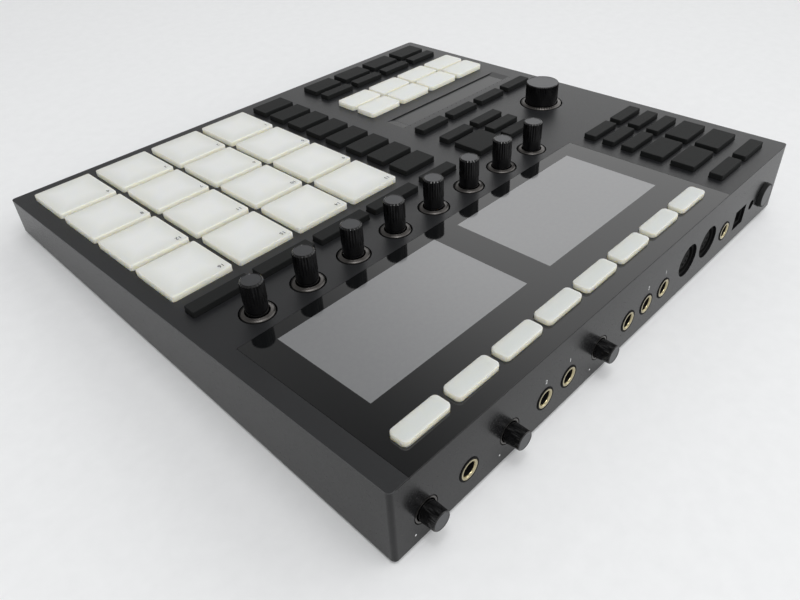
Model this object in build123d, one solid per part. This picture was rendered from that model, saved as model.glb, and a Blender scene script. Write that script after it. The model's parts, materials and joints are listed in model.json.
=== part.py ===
from build123d import *
import math
import os

# Control layout on the sloping top, seen from the player's side, in millimetres
LEFT_MARGIN = 11.9
RIGHT_MARGIN = 9.0
FRONT_MARGIN = 11.05
REAR_MARGIN = 9.15
COLUMN_COUNT = 4
COLUMN_PITCH = 28.0
KEY_WIDTH = 23.4
SMALL_KEY_DEPTH = 7.4
LARGE_KEY_DEPTH = 13.4
KEY_ROW_GAP = 4.6
TOP_ROW_GAP = 8.2
BLOCK_GAP = 20.7
COLUMN_GAP = 7.6
PAD_COUNT = 4
PAD_SIZE = 32.0
PAD_GAP = 4.0
PAD_ROW_GAP = 9.1
KNOB_ROW_GAP = 17.0
GLASS_GAP = 12.7
GLASS_DEPTH = 95.05
GLASS_WIDTH = 237.2
GLASS_MARGIN = 9.3
GLASS_SIDE_GAP = 10.2
KNOB_COUNT = 8
KNOB_PITCH = 28.1
SCREEN_WIDTH = 95.2
SCREEN_GAP = 7.8
SCREEN_KEY_GAP = 15.2
DISPLAY_KEY_WIDTH = 24.5
DISPLAY_KEY_DEPTH = 8.7
GROUP_KEY_WIDTH = 25.7
GROUP_KEY_DEPTH = 15.7
GROUP_ROW_PITCH = 18.0
GROUP_GAP = 11.0
STRIP_GAP = 11.2
STRIP_DEPTH = 14.3
PERFORM_GAP = 9.5
ENCODER_INSET = 35.5
ENCODER_DROP = 17.2

# Case, panel and glass
FRONT_HEIGHT = 19.1
REAR_HEIGHT = 38.9
WALL = 2.2
FLOOR = 2.2
PANEL = 2.6
PANEL_RIM = 0.7
PANEL_CLEARANCE = 0.2
GLASS = 1.2
CORNER_RADIUS = 2.0
GLASS_CLEARANCE = 0.15
STRIP_RECESS = 0.7
STRIP_RAMP = 6.0
STRIP_THICKNESS = 1.0
STRIP_CLEARANCE = 0.2
FOOT_HEIGHT = 2.0
FOOT_RADIUS = 9.0
FOOT_EDGE = 0.6
FOOT_INSET = 22.0

# Keys and pads
KEY_RISE = 3.0
DISPLAY_KEY_RISE = 2.3
PAD_RISE = 3.0
KEY_TRAVEL = 1.0
PAD_TRAVEL = 0.8
KEY_CLEARANCE = 0.3
LIP_OVERLAP = 0.4
LIP_THICKNESS = 0.8
SEAT_GAP = 0.2
PRESS_GAP = 0.2
PLUNGER_INSET = 1.5
KEY_CORNER = 0.7
WHITE_KEY_CORNER = 2.2
KEY_EDGE = 0.4
PAD_CORNER = 1.2
PAD_EDGE = 0.5

# Boards, mats and display modules under the panel
BOARD_SPACE = 7.0
BOARD = 1.6
BOARD_CLEARANCE = 0.5
BOARD_SIDE_GAP = 2.0
MAT = 1.0
MAT_MARGIN = 1.0
SCREEN_CLEARANCE = 0.3
MODULE_BORDER = 4.9
MODULE_TAIL = 6.9
MODULE_THICKNESS = 4.0
IO_BOARD_DEPTH = 35.0

# Knobs on the top and their encoders
KNOB_RADIUS = 5.3
KNOB_WAIST = 0.12
KNOB_TOP = 17.0
KNOB_GRIP = 10.3
KNOB_CHAMFER = 0.7
KNOB_SKIRT = 1.0
KNOB_BORE_DEPTH = 11.0
SHAFT_RADIUS = 3.0
BUSHING_WALL = 1.0
BUSHING_HEIGHT = 3.0
ENCODER_SIZE = 12.0
ENCODER_HEIGHT = 5.0
ENCODER_FLOOR = 1.0
SHAFT_END_GAP = 0.2
PRESS_FIT = 0.02
RUNNING_FIT = 0.05
COLLAR_WIDTH = 1.95
COLLAR_CLEARANCE = 0.45
COLLAR_GAP = 0.8
COLLAR_RISE = 0.8
COLLAR_EDGE = 0.15
COLLAR_FLANGE = 1.2
COLLAR_FLANGE_THICKNESS = 1.0

# Large push encoder
DIAL_RADIUS = 10.2
DIAL_TOP = 13.7
DIAL_CHAMFER = 0.5
DIAL_SKIRT = 0.8
DIAL_GRIP = 10.9
DIAL_BORE_DEPTH = 9.0
DIAL_TRAVEL = 0.8
DIAL_COLLAR_WIDTH = 2.15
PUSH_SIZE = 16.0
PUSH_HEIGHT = 4.0
PUSH_BUSHING_HEIGHT = 2.4
PUSH_FLOOR = 0.4
PLUNGER_THICKNESS = 0.6

# Sockets and knobs on the rear wall, places across the width and below the top
JACK_DROP = 24.8
JACK_BODY = 12.0
JACK_LENGTH = 26.0
JACK_END = 2.0
JACK_NOSE = 5.4
JACK_BORE = 3.25
NOSE_PROUD = 0.3
NOSE_CLEARANCE = 0.1
FERRULE_RADIUS = 4.55
FERRULE_MOUTH = 3.75
FERRULE_CONE = 0.5
FERRULE_LENGTH = 4.5
PHONES_X = 119.6
LINE_OUT_X = 62.9
LINE_OUT_PITCH = 17.0
INPUT_X = -10.0
INPUT_PITCH = 16.4
INPUT_COUNT = 3
PEDAL_X = -92.5
DIN_X = -61.0
DIN_PITCH = 21.7
DIN_DROP = 21.4
DIN_RADIUS = 8.65
DIN_BODY = 19.5
DIN_LENGTH = 16.0
DIN_SLOT = 7.1
DIN_INSERT = 5.6
DIN_SLOT_DEPTH = 8.0
DIN_CLEARANCE = 0.15
DIN_RECESS = 1.4
DIN_INSERT_DROP = 0.6
DIN_PIN_RADIUS = 0.8
DIN_PIN_CIRCLE = 3.4
DIN_PIN_STEP = 45.0
DIN_PIN_COUNT = 5
DIN_PIN_DEPTH = 5.0
USB_X = -111.4
USB_WIDTH = 12.2
USB_HEIGHT = 11.0
USB_LENGTH = 16.0
USB_PORT_WIDTH = 8.6
USB_PORT_HEIGHT = 7.9
USB_PORT_DEPTH = 9.0
USB_TONGUE_WIDTH = 5.6
USB_TONGUE_HEIGHT = 3.2
USB_INSET = 1.4
USB_CLEARANCE = 0.25
DC_X = -126.0
DC_DROP = 24.0
DC_WIDTH = 9.0
DC_HEIGHT = 11.5
DC_LENGTH = 14.0
DC_HOLE = 2.9
DC_BORE = 2.8
DC_BORE_DEPTH = 10.0
DC_PIN = 1.0
DC_PIN_INSET = 2.5
POWER_X = -142.0
POWER_DROP = 24.5
POWER_RADIUS = 7.0
POWER_PROUD = 2.2
POWER_TRAVEL = 1.5
POWER_CLEARANCE = 0.3
POWER_RIM = 0.8
POWER_RIM_THICKNESS = 1.0
POWER_EDGE = 0.4
POWER_STEM = 3.0
POWER_STEM_LENGTH = 9.0
SWITCH_WIDTH = 13.0
SWITCH_HEIGHT = 12.6
SWITCH_FLOOR = 1.5
PHONES_KNOB_X = 143.2
LINE_KNOB_X = 95.0
MIC_KNOB_X = 30.6
REAR_KNOB_RADIUS = 4.6
REAR_KNOB_END = 4.35
REAR_KNOB_REACH = 7.5
REAR_KNOB_CHAMFER = 0.3
REAR_KNOB_SKIRT = 1.5
REAR_KNOB_BORE_DEPTH = 6.0
POT_COLLAR_WIDTH = 0.75
POT_COLLAR_CLEARANCE = 0.35
POT_HOLE_GAP = 0.45
POT_SETBACK = 2.0
POT_LENGTH = 8.0
POT_BACK = 1.0

# Fasteners
BOSS_RADIUS = 2.5
SCREW_RADIUS = 1.25
SCREW_HOLE = 1.6
SCREW_HEAD = 2.6
SCREW_HEAD_HEIGHT = 0.9
SCREW_SEAT = 1.3
SCREW_LENGTH = 10.0
HEAD_CLEARANCE = 0.3
PILOT_SPARE = 1.0
POST_RADIUS = 3.0
POST_INSET = 6.0
STUD_RADIUS = 2.5
BOARD_SCREW_RADIUS = 1.0
BOARD_SCREW_HEAD = 2.2
BOARD_SCREW_HEAD_HEIGHT = 1.2
BOARD_SCREW_LENGTH = 6.0
FRONT_BOSS_SHARES = (-0.35, 0.0, 0.35)
POST_SHARES = (-0.42, -0.02, 0.42)
CUT_OVERRUN = 1.0

# Overall size and the lines that the rows of controls share
LEFT_BLOCK = (COLUMN_COUNT - 1) * COLUMN_PITCH + KEY_WIDTH
PAD_PITCH = PAD_SIZE + PAD_GAP
PAD_BLOCK = (PAD_COUNT - 1) * PAD_PITCH + PAD_SIZE
PAD_ROW = LEFT_MARGIN + LEFT_BLOCK + BLOCK_GAP + KEY_WIDTH + COLUMN_GAP + PAD_BLOCK + RIGHT_MARGIN
GLASS_ROW = LEFT_MARGIN + COLUMN_PITCH + KEY_WIDTH + GLASS_SIDE_GAP + GLASS_WIDTH + GLASS_MARGIN
CASE_WIDTH = max(PAD_ROW, GLASS_ROW)
CASE_DEPTH = (FRONT_MARGIN + PAD_BLOCK + PAD_ROW_GAP + SMALL_KEY_DEPTH
              + KNOB_ROW_GAP + GLASS_GAP + GLASS_DEPTH)
LEFT = -CASE_WIDTH / 2
RIGHT = CASE_WIDTH / 2
FRONT = -CASE_DEPTH / 2
REAR = CASE_DEPTH / 2
FRONT_LINE = FRONT + FRONT_MARGIN
PAD_LINE = FRONT_LINE + PAD_BLOCK
MODE_LINE = PAD_LINE + PAD_ROW_GAP + SMALL_KEY_DEPTH
KNOB_LINE = MODE_LINE + KNOB_ROW_GAP
GLASS_LINE = KNOB_LINE + GLASS_GAP
REAR_LINE = REAR - REAR_MARGIN
COLUMNS = [LEFT + LEFT_MARGIN + KEY_WIDTH / 2 + i * COLUMN_PITCH for i in range(COLUMN_COUNT)]
PADS_X = [RIGHT - RIGHT_MARGIN - PAD_SIZE / 2 - i * PAD_PITCH for i in reversed(range(PAD_COUNT))]
SCENE_X = PADS_X[0] - PAD_SIZE / 2 - COLUMN_GAP - KEY_WIDTH / 2
PADS_Y = [FRONT_LINE + PAD_SIZE / 2 + i * PAD_PITCH for i in range(PAD_COUNT)]
GLASS_X = RIGHT - GLASS_MARGIN - GLASS_WIDTH / 2
KNOBS_X = [GLASS_X + (i - (KNOB_COUNT - 1) / 2) * KNOB_PITCH for i in range(KNOB_COUNT)]
SCREENS_X = [GLASS_X + side * KNOB_COUNT / 4 * KNOB_PITCH for side in (-1, 1)]
SCREEN_DEPTH = GLASS_DEPTH - SCREEN_GAP - SCREEN_KEY_GAP - DISPLAY_KEY_DEPTH - REAR_MARGIN
SCREEN_Y = GLASS_LINE + SCREEN_GAP + SCREEN_DEPTH / 2
TRANSPORT_LINE = FRONT_LINE + LARGE_KEY_DEPTH + KEY_ROW_GAP + SMALL_KEY_DEPTH
GROUP_LINE = TRANSPORT_LINE + GROUP_GAP + GROUP_ROW_PITCH + GROUP_KEY_DEPTH
STRIP_X = (COLUMNS[0] + COLUMNS[-1]) / 2
STRIP_Y = GROUP_LINE + STRIP_GAP + STRIP_DEPTH / 2
PERFORM_LINE = STRIP_Y + STRIP_DEPTH / 2 + PERFORM_GAP + SMALL_KEY_DEPTH
DIAL_X = LEFT + ENCODER_INSET
DIAL_Y = MODE_LINE - ENCODER_DROP

# Levels below the panel's top face
SLOPE_RATIO = (REAR_HEIGHT - FRONT_HEIGHT) / CASE_DEPTH
SLOPE = math.degrees(math.atan(SLOPE_RATIO))
BOARD_TOP = -(PANEL + BOARD_SPACE)
MAT_TOP = BOARD_TOP + MAT
LIP = KEY_CLEARANCE + LIP_OVERLAP
LIP_TOP = -(PANEL + SEAT_GAP)
LIP_LOW = LIP_TOP - LIP_THICKNESS
IO_TOP = -(JACK_DROP + JACK_BODY / 2)
IO_LOW = IO_TOP - BOARD
INNER_REAR = REAR - WALL
COLLAR_BORE = KNOB_RADIUS + COLLAR_CLEARANCE
KNOB_HOLE = COLLAR_BORE + COLLAR_WIDTH + COLLAR_GAP
DIAL_COLLAR_BORE = DIAL_RADIUS + COLLAR_CLEARANCE
DIAL_HOLE = DIAL_COLLAR_BORE + DIAL_COLLAR_WIDTH + COLLAR_GAP
POT_COLLAR_BORE = REAR_KNOB_RADIUS + POT_COLLAR_CLEARANCE
POT_HOLE = POT_COLLAR_BORE + POT_COLLAR_WIDTH + POT_HOLE_GAP
JACKS_X = ([PHONES_X, LINE_OUT_X + LINE_OUT_PITCH / 2, LINE_OUT_X - LINE_OUT_PITCH / 2]
           + [INPUT_X - (i - (INPUT_COUNT - 1) / 2) * INPUT_PITCH for i in range(INPUT_COUNT)]
           + [PEDAL_X])
DINS_X = [DIN_X + DIN_PITCH / 2, DIN_X - DIN_PITCH / 2]
REAR_KNOBS = {"phones_knob": PHONES_KNOB_X, "line_out_knob": LINE_KNOB_X, "mic_gain_knob": MIC_KNOB_X}

# Places of the case screws and of the studs that carry the main board
AISLE_X = SCENE_X - (KEY_WIDTH + BLOCK_GAP) / 2
FRONT_BOSS_Y = (FRONT + WALL + FRONT_LINE - LIP) / 2
REAR_BOSS_Y = (INNER_REAR + REAR_LINE + LIP) / 2
REAR_BOSSES_X = [(PHONES_X + LINE_KNOB_X) / 2,
                 (INPUT_X + INPUT_PITCH + MIC_KNOB_X) / 2,
                 (PEDAL_X - JACK_BODY / 2 + USB_X + USB_WIDTH / 2) / 2]
BOSSES = ([(share * CASE_WIDTH, FRONT_BOSS_Y) for share in FRONT_BOSS_SHARES]
          + [(x, REAR_BOSS_Y) for x in REAR_BOSSES_X]
          + [(AISLE_X, PADS_Y[1]), (AISLE_X, PAD_LINE)])
GROUP_AISLE_Y = TRANSPORT_LINE + GROUP_GAP / 2
PAD_AISLE_Y = PAD_LINE + PAD_ROW_GAP / 2
STUDS = [((COLUMNS[0] + COLUMNS[1]) / 2, GROUP_AISLE_Y),
         ((COLUMNS[2] + COLUMNS[3]) / 2, GROUP_AISLE_Y),
         (DIAL_X, KNOB_LINE - SMALL_KEY_DEPTH),
         ((PADS_X[0] + PADS_X[1]) / 2, PAD_AISLE_Y),
         ((PADS_X[2] + PADS_X[3]) / 2, PAD_AISLE_Y),
         (GLASS_X, SCREEN_Y + SCREEN_DEPTH / 2 + MODULE_TAIL + BOSS_RADIUS + BOARD_CLEARANCE),
         (AISLE_X, PERFORM_LINE)]


def base_level(y):
    """Level of the case's underside at a place along the top."""
    return -FRONT_HEIGHT - (y - FRONT) * SLOPE_RATIO


def block(width, depth, low, high, x=0, y=0, corner=0):
    """Upright block between two levels, with rounded corners where asked."""
    outline = RectangleRounded(width, depth, corner) if corner else Rectangle(width, depth)
    return Pos(x, y, low) * extrude(outline, amount=high - low)


def disc(radius, low, high, x=0, y=0):
    """Upright cylinder between two levels."""
    return Pos(x, y, (low + high) / 2) * Cylinder(radius, high - low)


def rod(radius, start, end, x, level):
    """Cylinder that lies front to rear."""
    return Pos(x, (start + end) / 2, level) * Rot(90, 0, 0) * Cylinder(radius, end - start)


def turned(points):
    """Body of revolution about the upright axis, from (radius, level) points."""
    outline = Polyline(*[(radius, 0, level) for radius, level in points], close=True)
    return revolve(make_face(outline), Axis.Z)


def facing_rear(shape, x, level):
    """Turned body laid down so that its axis points out of the rear wall."""
    return Pos(x, REAR, level) * Rot(-90, 0, 0) * shape


def wedge(width, front, rear, top, lift):
    """Solid between a flat top and a plane that lies lift above the underside."""
    outline = Polyline((front, top), (rear, top), (rear, base_level(rear) + lift),
                       (front, base_level(front) + lift), close=True)
    return extrude(Plane.YZ * make_face(outline), amount=width / 2, both=True)


CAVITY = wedge(CASE_WIDTH - 2 * WALL, FRONT + WALL, INNER_REAR, 0, FLOOR)


# Keys: each place is (x, y, width, depth)

def rows_down(line, depths, gaps):
    """Centres of rows stacked from a rear line towards the player."""
    centres = []
    for depth, gap in zip(depths, gaps):
        centres.append(line - depth / 2)
        line -= depth + gap
    return centres


def mode_places():
    depths = [SMALL_KEY_DEPTH] + 2 * [LARGE_KEY_DEPTH] + 3 * [SMALL_KEY_DEPTH]
    gaps = [TOP_ROW_GAP] + (len(depths) - 1) * [KEY_ROW_GAP]
    rows = zip(rows_down(REAR_LINE, depths, gaps), depths)
    return [(x, y, KEY_WIDTH, depth) for y, depth in rows for x in COLUMNS[:2]]


def master_places():
    depths = 3 * [SMALL_KEY_DEPTH]
    rows = rows_down(MODE_LINE, depths, len(depths) * [KEY_ROW_GAP])
    tall = 2 * SMALL_KEY_DEPTH + KEY_ROW_GAP
    small = [(COLUMNS[2], y, KEY_WIDTH, SMALL_KEY_DEPTH) for y in rows]
    return small + [(COLUMNS[3], MODE_LINE - tall / 2, KEY_WIDTH, tall),
                    (COLUMNS[3], rows[-1], KEY_WIDTH, SMALL_KEY_DEPTH)]


def perform_places():
    return [(x, PERFORM_LINE - SMALL_KEY_DEPTH / 2, KEY_WIDTH, SMALL_KEY_DEPTH) for x in COLUMNS]


def group_places():
    rows = [GROUP_LINE - GROUP_KEY_DEPTH / 2 - i * GROUP_ROW_PITCH for i in range(2)]
    return [(x, y, GROUP_KEY_WIDTH, GROUP_KEY_DEPTH) for y in rows for x in COLUMNS]


def transport_places():
    depths = [SMALL_KEY_DEPTH, LARGE_KEY_DEPTH]
    rows = zip(rows_down(TRANSPORT_LINE, depths, 2 * [KEY_ROW_GAP]), depths)
    return [(x, y, KEY_WIDTH, depth) for y, depth in rows for x in COLUMNS]


def scene_places():
    count = 2 * PAD_COUNT
    first = PAD_LINE - LARGE_KEY_DEPTH / 2
    return [(SCENE_X, first - i * PAD_PITCH / 2, KEY_WIDTH, LARGE_KEY_DEPTH) for i in range(count)]


def pad_mode_places():
    y = MODE_LINE - SMALL_KEY_DEPTH / 2
    wide = [(x, y, PAD_SIZE, SMALL_KEY_DEPTH) for x in PADS_X]
    return [(SCENE_X, y, KEY_WIDTH, SMALL_KEY_DEPTH)] + wide


def display_places():
    y = REAR_LINE - DISPLAY_KEY_DEPTH / 2
    return [(x, y, DISPLAY_KEY_WIDTH, DISPLAY_KEY_DEPTH) for x in KNOBS_X]


def pad_places():
    return [(x, y, PAD_SIZE, PAD_SIZE) for y in PADS_Y for x in PADS_X]


KEY_BANKS = {"mode_buttons": mode_places(), "master_buttons": master_places(),
             "perform_buttons": perform_places(), "group_buttons": group_places(),
             "transport_buttons": transport_places(), "scene_buttons": scene_places(),
             "pad_mode_buttons": pad_mode_places(), "display_buttons": display_places()}


def key(place, rise, travel, corner, edge):
    """Cap through the panel, lip that stops it underneath, and plunger over the mat."""
    x, y, width, depth = place
    cap = block(width, depth, LIP_TOP, rise, x, y, corner)
    cap = fillet(cap.faces().sort_by(Axis.Z)[-1].edges(), edge)
    lip = block(width + 2 * LIP, depth + 2 * LIP, LIP_LOW, LIP_TOP, x, y)
    inset = 2 * PLUNGER_INSET
    plunger = block(width - inset, depth - inset, MAT_TOP + travel + PRESS_GAP, LIP_LOW, x, y)
    return cap + [lip, plunger]


def key_corner(name):
    """Corner radius of a bank's keys: the white ones are rounder."""
    return WHITE_KEY_CORNER if name in ("group_buttons", "display_buttons") else KEY_CORNER


def key_bank(name):
    rise = DISPLAY_KEY_RISE if name == "display_buttons" else KEY_RISE
    return [key(place, rise, KEY_TRAVEL, key_corner(name), KEY_EDGE) for place in KEY_BANKS[name]]


def pad(place):
    return [key(place, PAD_RISE, PAD_TRAVEL, PAD_CORNER, PAD_EDGE)]


def key_holes(places, low, corner):
    """Cuts for keys, a clearance larger than each cap."""
    grow = 2 * KEY_CLEARANCE
    return [block(width + grow, depth + grow, low, CUT_OVERRUN, x, y, corner + KEY_CLEARANCE)
            for x, y, width, depth in places]


def mat_under(places):
    """Rubber sheet on the board under a bank of keys."""
    low_x = min(x - width / 2 for x, y, width, depth in places) - MAT_MARGIN
    high_x = max(x + width / 2 for x, y, width, depth in places) + MAT_MARGIN
    low_y = min(y - depth / 2 for x, y, width, depth in places) - MAT_MARGIN
    high_y = max(y + depth / 2 for x, y, width, depth in places) + MAT_MARGIN
    return block(high_x - low_x, high_y - low_y, BOARD_TOP, MAT_TOP,
                 (low_x + high_x) / 2, (low_y + high_y) / 2)


# Case and panel

def rear_cuts():
    """Openings of the rear wall, each a clearance wider than what stands in it."""
    start = INNER_REAR - CUT_OVERRUN
    end = REAR + CUT_OVERRUN
    cuts = [rod(JACK_NOSE + NOSE_CLEARANCE, start, end, x, -JACK_DROP) for x in JACKS_X]
    cuts += [rod(DIN_RADIUS + DIN_CLEARANCE, start, end, x, -DIN_DROP) for x in DINS_X]
    cuts += [rod(POT_HOLE, start, end, x, -JACK_DROP) for x in REAR_KNOBS.values()]
    cuts.append(rod(DC_HOLE, start, end, DC_X, -DC_DROP))
    cuts.append(rod(POWER_RADIUS + POWER_CLEARANCE, start, end, POWER_X, -POWER_DROP))
    cuts.append(block(USB_WIDTH + 2 * USB_CLEARANCE, 2 * (end - start), IO_TOP - USB_CLEARANCE,
                      IO_TOP + USB_HEIGHT + USB_CLEARANCE, USB_X, REAR))
    return cuts


def io_posts():
    """Pillars on the floor that carry the rear board."""
    y = INNER_REAR - IO_BOARD_DEPTH + POST_INSET
    return [disc(POST_RADIUS, base_level(y) + FLOOR / 2, IO_LOW, share * CASE_WIDTH, y)
            for share in POST_SHARES]


def bottom_case():
    shell = wedge(CASE_WIDTH, FRONT, REAR, -PANEL_RIM, 0)
    shell = fillet(shell.edges().filter_by(Axis.Z), CORNER_RADIUS)
    shell = shell - [CAVITY, glass_pocket()]
    screw_cuts = []
    for x, y in BOSSES:
        seat = base_level(y) + SCREW_SEAT
        screw_cuts.append(disc(SCREW_HOLE, seat, base_level(y) + FLOOR + CUT_OVERRUN, x, y))
        screw_cuts.append(disc(SCREW_HEAD + HEAD_CLEARANCE, base_level(y) - CUT_OVERRUN, seat, x, y))
    return [shell + io_posts() - screw_cuts - rear_cuts()]


def case_standoffs():
    """Screw pillars that reach from the panel to the floor, with pilot holes."""
    pillars = []
    for x, y in BOSSES:
        tip = base_level(y) + SCREW_SEAT + SCREW_LENGTH + PILOT_SPARE
        pillar = disc(BOSS_RADIUS, base_level(y), -PANEL, x, y) & CAVITY
        pillars.append(pillar - disc(SCREW_RADIUS + PRESS_FIT, base_level(y), tip, x, y))
    return pillars


def board_standoffs():
    """Short pillars that carry the main board, with pilot holes."""
    tip = BOARD_TOP - BOARD + BOARD_SCREW_LENGTH + PILOT_SPARE
    return [disc(STUD_RADIUS, BOARD_TOP, -PANEL, x, y)
            - disc(BOARD_SCREW_RADIUS + PRESS_FIT, BOARD_TOP, min(tip, -PANEL), x, y) for x, y in STUDS]


def glass_pocket():
    """Step for the glass, open towards the rear, in the panel and in the rear wall."""
    depth = GLASS_DEPTH + CUT_OVERRUN
    return block(GLASS_WIDTH, depth, -GLASS, CUT_OVERRUN, GLASS_X, GLASS_LINE + depth / 2)


def strip_recess():
    """Shallow trough over the touch strip, with a ramp at each end."""
    half = LEFT_BLOCK / 2
    flat = half - STRIP_RAMP
    outline = Polyline((-half, CUT_OVERRUN), (-half, 0), (-flat, -STRIP_RECESS), (flat, -STRIP_RECESS),
                       (half, 0), (half, CUT_OVERRUN), close=True)
    trough = extrude(Plane.XZ * make_face(outline), amount=STRIP_DEPTH / 2, both=True)
    return Pos(STRIP_X, STRIP_Y) * trough


def panel_plate():
    """Plate inside the walls, with a thin rim that lies on top of them."""
    rim = block(CASE_WIDTH, CASE_DEPTH, -PANEL_RIM, 0, corner=CORNER_RADIUS)
    inset = 2 * (WALL + PANEL_CLEARANCE)
    return rim + block(CASE_WIDTH - inset, CASE_DEPTH - inset, -PANEL, 0)


def top_panel():
    plate = panel_plate()
    low = -PANEL - CUT_OVERRUN
    cuts = [cut for name, places in KEY_BANKS.items() for cut in key_holes(places, low, key_corner(name))]
    cuts += key_holes(pad_places(), low, PAD_CORNER)
    cuts += [disc(KNOB_HOLE, low, CUT_OVERRUN, x, KNOB_LINE) for x in KNOBS_X]
    cuts.append(disc(DIAL_HOLE, low, CUT_OVERRUN, DIAL_X, DIAL_Y))
    cuts.append(glass_pocket())
    grow = 2 * SCREEN_CLEARANCE
    cuts += [block(SCREEN_WIDTH + grow, SCREEN_DEPTH + grow, low, CUT_OVERRUN, x, SCREEN_Y)
             for x in SCREENS_X]
    cuts.append(strip_recess())
    cuts.append(block(LEFT_BLOCK - 2 * STRIP_RAMP, STRIP_DEPTH, -STRIP_RECESS - STRIP_THICKNESS,
                      -STRIP_RECESS, STRIP_X, STRIP_Y))
    return [plate - cuts]


def display_glass():
    width = GLASS_WIDTH - 2 * GLASS_CLEARANCE
    depth = GLASS_DEPTH - GLASS_CLEARANCE
    sheet = block(width, depth, -GLASS, 0, GLASS_X, REAR - depth / 2)
    return [sheet - key_holes(display_places(), -GLASS - CUT_OVERRUN, key_corner("display_buttons"))]


def touch_strip():
    return [block(LEFT_BLOCK - 2 * STRIP_RAMP - STRIP_CLEARANCE, STRIP_DEPTH - STRIP_CLEARANCE,
                  -STRIP_RECESS - STRIP_THICKNESS, -STRIP_RECESS, STRIP_X, STRIP_Y)]


def feet():
    """Round rubber feet under the corners, square to the flat underside."""
    stand = []
    for x in (LEFT + FOOT_INSET, RIGHT - FOOT_INSET):
        for y in (FRONT + FOOT_INSET, REAR - FOOT_INSET):
            foot = disc(FOOT_RADIUS, -FOOT_HEIGHT, 0)
            foot = fillet(foot.edges().sort_by(Axis.Z)[0], FOOT_EDGE)
            stand.append(Pos(x, y, base_level(y)) * Rot(-SLOPE, 0, 0) * foot)
    return stand


# Boards and what stands on them

def main_board():
    front = FRONT_BOSS_Y + BOSS_RADIUS + BOARD_CLEARANCE
    rear = REAR_BOSS_Y - BOSS_RADIUS - BOARD_CLEARANCE
    width = CASE_WIDTH - 2 * (WALL + BOARD_SIDE_GAP)
    sheet = block(width, rear - front, BOARD_TOP - BOARD, BOARD_TOP, 0, (front + rear) / 2)
    low = BOARD_TOP - BOARD - CUT_OVERRUN
    high = BOARD_TOP + CUT_OVERRUN
    holes = [disc(BOARD_SCREW_RADIUS + PRESS_FIT, low, high, x, y) for x, y in STUDS]
    aisle = [(x, y) for x, y in BOSSES if front < y < rear]
    holes += [disc(BOSS_RADIUS + BOARD_CLEARANCE, low, high, x, y) for x, y in aisle]
    return [sheet - holes]


def io_board():
    rear = INNER_REAR - BOARD_CLEARANCE
    front = INNER_REAR - IO_BOARD_DEPTH
    width = CASE_WIDTH - 2 * (WALL + BOARD_SIDE_GAP)
    sheet = block(width, rear - front, IO_LOW, IO_TOP, 0, (front + rear) / 2)
    low = IO_LOW - CUT_OVERRUN
    high = IO_TOP + CUT_OVERRUN
    slots = [disc(BOSS_RADIUS + BOARD_CLEARANCE, low, high, x, REAR_BOSS_Y) for x in REAR_BOSSES_X]
    notch_width = 2 * (POWER_RADIUS + POWER_RIM + BOARD_CLEARANCE)
    notch_depth = SEAT_GAP + POWER_RIM_THICKNESS + POWER_TRAVEL + BOARD_CLEARANCE
    slots.append(block(notch_width, 2 * notch_depth, low, high, POWER_X, INNER_REAR))
    return [sheet - slots]


def key_mats():
    return [mat_under(places) for places in KEY_BANKS.values()]


def pad_sensor():
    return [mat_under(pad_places())]


def display_modules():
    """Lit panel that fills its window, on a wider frame under the panel."""
    modules = []
    for x in SCREENS_X:
        cell = block(SCREEN_WIDTH, SCREEN_DEPTH, -PANEL, -GLASS, x, SCREEN_Y)
        frame = block(SCREEN_WIDTH + 2 * MODULE_BORDER, SCREEN_DEPTH + 2 * MODULE_TAIL,
                      -PANEL - MODULE_THICKNESS, -PANEL, x, SCREEN_Y)
        modules.append(cell + frame)
    return modules


def case_screws():
    screws = []
    for x, y in BOSSES:
        seat = base_level(y) + SCREW_SEAT
        head = disc(SCREW_HEAD, seat - SCREW_HEAD_HEIGHT, seat, x, y)
        screws.append(head + disc(SCREW_RADIUS, seat, seat + SCREW_LENGTH, x, y))
    return screws


def board_screws():
    low = BOARD_TOP - BOARD
    return [disc(BOARD_SCREW_HEAD, low - BOARD_SCREW_HEAD_HEIGHT, low, x, y)
            + disc(BOARD_SCREW_RADIUS, low, low + BOARD_SCREW_LENGTH, x, y) for x, y in STUDS]


# Knobs, collars and encoders on the top

def cap_profile(radius, top, grip, chamfer, skirt):
    """Half outline of a knob cap: grip above, slightly slimmer stem below."""
    slim = radius - KNOB_WAIST
    return [(0, -skirt), (slim, -skirt), (slim, top - grip), (radius, top - grip),
            (radius, top - chamfer), (radius - chamfer, top), (0, top)]


def capped_shaft(cap, bore_top, shaft_low, skirt):
    """Cap with a blind bore, and the shaft that fills it."""
    bore = disc(SHAFT_RADIUS + PRESS_FIT, -skirt - CUT_OVERRUN, bore_top)
    return [cap - bore, disc(SHAFT_RADIUS, shaft_low, bore_top)]


def knob(x):
    cap = turned(cap_profile(KNOB_RADIUS, KNOB_TOP, KNOB_GRIP, KNOB_CHAMFER, KNOB_SKIRT))
    shaft_low = BOARD_TOP + ENCODER_FLOOR + SHAFT_END_GAP
    pieces = capped_shaft(cap, KNOB_BORE_DEPTH - KNOB_SKIRT, shaft_low, KNOB_SKIRT)
    return [Pos(x, KNOB_LINE) * piece for piece in pieces]


def dial_shaft_low():
    """Level of the large encoder's shaft end, with room to be pressed."""
    return BOARD_TOP + PUSH_FLOOR + SHAFT_END_GAP + DIAL_TRAVEL + PLUNGER_THICKNESS


def main_encoder_knob():
    cap = turned(cap_profile(DIAL_RADIUS, DIAL_TOP, DIAL_GRIP, DIAL_CHAMFER, DIAL_SKIRT))
    pieces = capped_shaft(cap, DIAL_BORE_DEPTH - DIAL_SKIRT, dial_shaft_low(), DIAL_SKIRT)
    return [Pos(DIAL_X, DIAL_Y) * piece for piece in pieces]


def main_encoder_plunger():
    top = dial_shaft_low()
    return [disc(SHAFT_RADIUS, top - PLUNGER_THICKNESS, top, DIAL_X, DIAL_Y)]


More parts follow.
